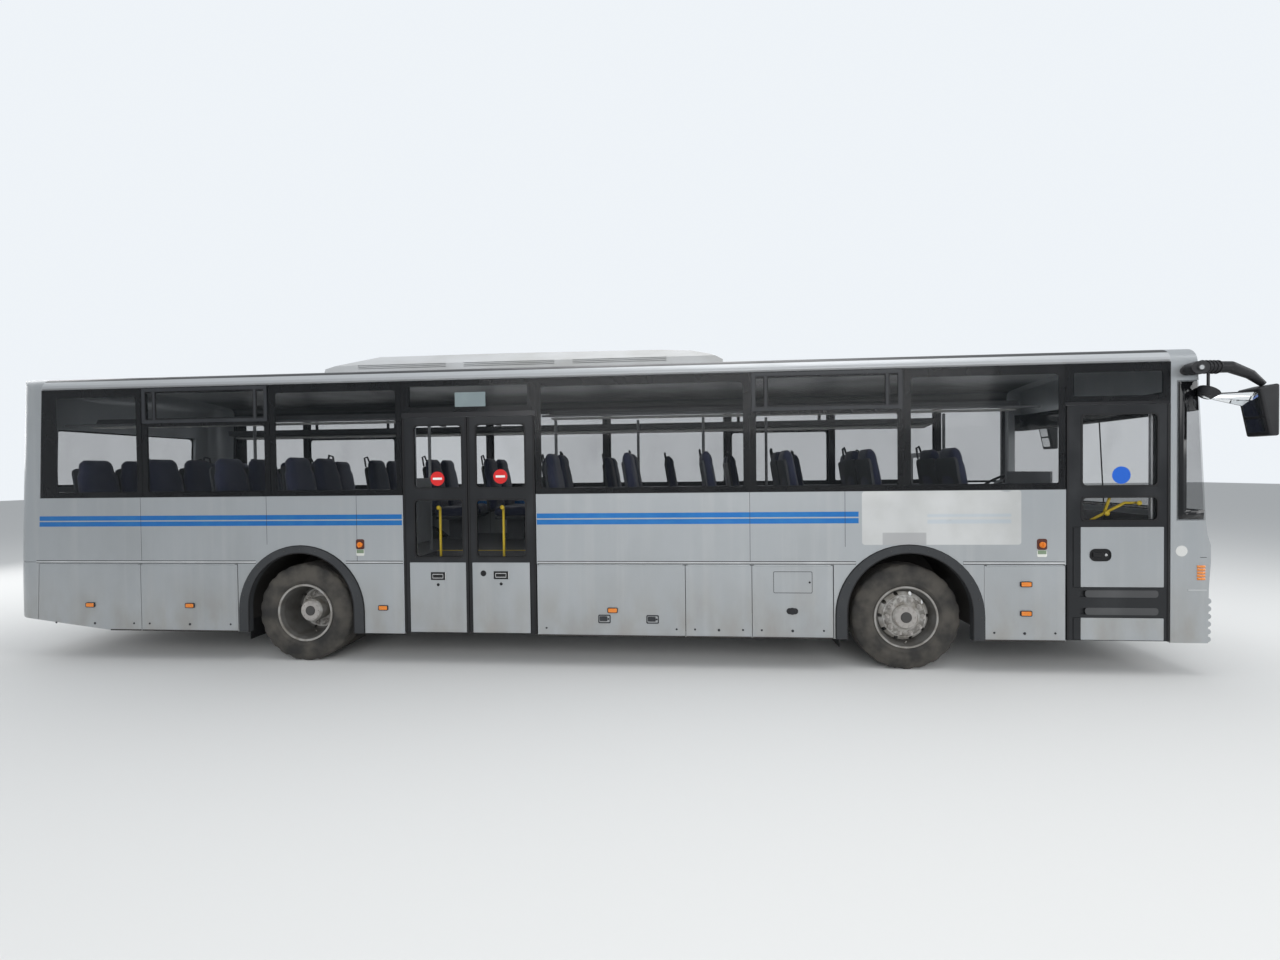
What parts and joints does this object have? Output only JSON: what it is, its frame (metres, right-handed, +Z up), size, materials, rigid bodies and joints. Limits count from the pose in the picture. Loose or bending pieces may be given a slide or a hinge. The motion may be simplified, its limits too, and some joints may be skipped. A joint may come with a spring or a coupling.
{
  "type": "coach bus",
  "caption": "Full-size coach bus with opening doors, skirt flaps and engine lid, steered front wheels and rolling wheels.",
  "frame": {"origin": "on the ground, below the middle of the overall box with its mirrors", "axes": "+X to the nose, +Y to the driver's side, +Z up"},
  "size_m": [12.438, 2.97, 3.272],
  "materials": {
    "body_paint": "silver metallic, dusty",
    "roof_paint": "pale silver, matt with age",
    "moulding": "dark grey moulded plastic",
    "glass": "smoked",
    "lamp": "clear over amber and red",
    "black_trim": "black",
    "tyre": "worn and dusty",
    "rim": "silver, dirty",
    "chassis": "black, matt",
    "cast": "oily",
    "floor": "grey floor covering",
    "seat": "dark blue cloth",
    "inside": "grey grained",
    "rail": "yellow",
    "alloy": "satin"
  },
  "bodies": {
    "root": {"underframe": "chassis", "towing_lugs": "chassis", "floor_deck": "floor", "step_wells": "floor", "luggage_bays": "inside", "wheel_housings": "chassis", "side_wall_right": "body_paint", "side_wall_left": "body_paint", "roof_shell": "roof_paint", "roof_air_unit": "roof_paint", "front_mask": "body_paint", "windscreen": "glass", "front_bumper": "body_paint", "rear_mask": "body_paint", "lamps": "lamp", "body_glass": "glass", "hopper_frames": "alloy", "arch_flares": "moulding", "mirrors": "black_trim", "wipers": "black_trim", "driver_seat": "seat", "passenger_seats": "seat", "dashboard": "inside", "handrails": "rail", "luggage_racks": "inside", "engine_block": "cast", "front_axle": "chassis", "rear_axle": "chassis"},
    "steer_right": {"knuckle_right": "cast"},
    "front_wheel_right": {"front_tyre_right": "tyre", "front_wheel_right": "rim"},
    "rear_wheels_right": {"rear_tyres_right": "tyre", "rear_wheels_right": "rim"},
    "steer_left": {"knuckle_left": "cast"},
    "front_wheel_left": {"front_tyre_left": "tyre", "front_wheel_left": "rim"},
    "rear_wheels_left": {"rear_tyres_left": "tyre", "rear_wheels_left": "rim"},
    "track_rod": {"track_rod": "chassis"},
    "steering_wheel": {"steering_wheel": "black_trim"},
    "front_door_arms": {"front_door_arms": "alloy"},
    "front_door": {"front_door": "body_paint", "front_door_glass": "glass"},
    "mid_door_rear_arms": {"mid_door_rear_arms": "alloy"},
    "mid_door_rear": {"mid_door_rear": "body_paint", "mid_door_rear_glass": "glass"},
    "mid_door_front_arms": {"mid_door_front_arms": "alloy"},
    "mid_door_front": {"mid_door_front": "body_paint", "mid_door_front_glass": "glass"},
    "engine_flap_right": {"engine_flap_right": "body_paint"},
    "service_flap_right": {"service_flap_right": "body_paint"},
    "luggage_flap_right_rear": {"luggage_flap_right_rear": "body_paint"},
    "luggage_flap_right_front": {"luggage_flap_right_front": "body_paint"},
    "fuel_flap": {"fuel_flap": "body_paint"},
    "battery_flap": {"battery_flap": "body_paint"},
    "engine_flap_left": {"engine_flap_left": "body_paint"},
    "luggage_flap_left_rear": {"luggage_flap_left_rear": "body_paint"},
    "luggage_flap_left_mid": {"luggage_flap_left_mid": "body_paint"},
    "luggage_flap_left_front": {"luggage_flap_left_front": "body_paint"},
    "engine_lid": {"engine_lid": "body_paint"}
  },
  "joints": [
    {"name": "steer_right", "type": "hinge", "parent": "root", "child": "steer_right", "pos_m": [3.21, -0.9, 0.508], "axis": [0, 0, 1], "range_deg": [-40, 40]},
    {"name": "front_wheel_right_roll", "type": "hinge", "parent": "steer_right", "child": "front_wheel_right", "pos_m": [3.21, -1.075, 0.508], "axis": [0, 1, 0], "continuous": true},
    {"name": "rear_wheels_right_roll", "type": "hinge", "parent": "root", "child": "rear_wheels_right", "pos_m": [-2.88, -0.94, 0.508], "axis": [0, 1, 0], "continuous": true},
    {"name": "steer_left", "type": "hinge", "parent": "root", "child": "steer_left", "pos_m": [3.21, 0.9, 0.508], "axis": [0, 0, 1], "range_deg": [-40, 40]},
    {"name": "front_wheel_left_roll", "type": "hinge", "parent": "steer_left", "child": "front_wheel_left", "pos_m": [3.21, 1.075, 0.508], "axis": [0, 1, 0], "continuous": true},
    {"name": "rear_wheels_left_roll", "type": "hinge", "parent": "root", "child": "rear_wheels_left", "pos_m": [-2.88, 0.94, 0.508], "axis": [0, 1, 0], "continuous": true},
    {"name": "track_rod_pivot", "type": "hinge", "parent": "steer_right", "child": "track_rod", "pos_m": [3.01, -0.9, 0.345], "axis": [0, 0, 1], "range_deg": [-40, 40]},
    {"name": "steering_wheel_turn", "type": "hinge", "parent": "root", "child": "steering_wheel", "pos_m": [5.08, 0.64, 1.75], "axis": [-0.5, 0, 0.866], "range_deg": [-720, 720]},
    {"name": "front_door_swing", "type": "hinge", "parent": "root", "child": "front_door_arms", "pos_m": [5.445, -1.165, 1.5], "axis": [0, 0, -1], "range_deg": [-130, 0]},
    {"name": "front_door_follow", "type": "hinge", "parent": "front_door_arms", "child": "front_door", "pos_m": [4.985, -1.165, 1.5], "axis": [0, 0, -1], "range_deg": [0, 130]},
    {"name": "mid_door_rear_swing", "type": "hinge", "parent": "root", "child": "mid_door_rear_arms", "pos_m": [-1.698, -1.165, 1.5], "axis": [0, 0, 1], "range_deg": [-130, 0]},
    {"name": "mid_door_rear_follow", "type": "hinge", "parent": "mid_door_rear_arms", "child": "mid_door_rear", "pos_m": [-1.368, -1.165, 1.5], "axis": [0, 0, 1], "range_deg": [0, 130]},
    {"name": "mid_door_front_swing", "type": "hinge", "parent": "root", "child": "mid_door_front_arms", "pos_m": [-0.456, -1.165, 1.5], "axis": [0, 0, -1], "range_deg": [-130, 0]},
    {"name": "mid_door_front_follow", "type": "hinge", "parent": "mid_door_front_arms", "child": "mid_door_front", "pos_m": [-0.786, -1.165, 1.5], "axis": [0, 0, -1], "range_deg": [0, 130]},
    {"name": "engine_flap_right_lift", "type": "hinge", "parent": "root", "child": "engine_flap_right", "pos_m": [-5.2885, -1.272, 1.0207], "axis": [-1, 0, 0], "range_deg": [0, 95]},
    {"name": "service_flap_right_lift", "type": "hinge", "parent": "root", "child": "service_flap_right", "pos_m": [-4.128, -1.272, 1.0207], "axis": [-1, 0, 0], "range_deg": [0, 95]},
    {"name": "luggage_flap_right_rear_lift", "type": "hinge", "parent": "root", "child": "luggage_flap_right_rear", "pos_m": [0.3535, -1.272, 1.0207], "axis": [-1, 0, 0], "range_deg": [0, 95]},
    {"name": "luggage_flap_right_front_lift", "type": "hinge", "parent": "root", "child": "luggage_flap_right_front", "pos_m": [1.415, -1.272, 1.0207], "axis": [-1, 0, 0], "range_deg": [0, 95]},
    {"name": "fuel_flap_lift", "type": "hinge", "parent": "root", "child": "fuel_flap", "pos_m": [2.1215, -1.272, 1.0207], "axis": [-1, 0, 0], "range_deg": [0, 95]},
    {"name": "battery_flap_lift", "type": "hinge", "parent": "root", "child": "battery_flap", "pos_m": [4.249, -1.272, 1.0207], "axis": [-1, 0, 0], "range_deg": [0, 95]},
    {"name": "engine_flap_left_lift", "type": "hinge", "parent": "root", "child": "engine_flap_left", "pos_m": [-4.7395, 1.272, 1.0207], "axis": [1, 0, 0], "range_deg": [0, 95]},
    {"name": "luggage_flap_left_rear_lift", "type": "hinge", "parent": "root", "child": "luggage_flap_left_rear", "pos_m": [-1.283, 1.272, 1.0207], "axis": [1, 0, 0], "range_deg": [0, 95]},
    {"name": "luggage_flap_left_mid_lift", "type": "hinge", "parent": "root", "child": "luggage_flap_left_mid", "pos_m": [0.3535, 1.272, 1.0207], "axis": [1, 0, 0], "range_deg": [0, 95]},
    {"name": "luggage_flap_left_front_lift", "type": "hinge", "parent": "root", "child": "luggage_flap_left_front", "pos_m": [1.7995, 1.272, 1.0207], "axis": [1, 0, 0], "range_deg": [0, 95]},
    {"name": "engine_lid_lift", "type": "hinge", "parent": "root", "child": "engine_lid", "pos_m": [-6.187, 0, 1.5], "axis": [0, 1, 0], "range_deg": [0, 80]}
  ],
  "couplings": [
    {"joint": "steer_left", "follows": "steer_right", "ratio": 1},
    {"joint": "track_rod_pivot", "follows": "steer_right", "ratio": -1},
    {"joint": "steering_wheel_turn", "follows": "steer_right", "ratio": 18},
    {"joint": "front_door_follow", "follows": "front_door_swing", "ratio": -1},
    {"joint": "mid_door_rear_follow", "follows": "mid_door_rear_swing", "ratio": -1},
    {"joint": "mid_door_front_follow", "follows": "mid_door_front_swing", "ratio": -1}
  ]
}
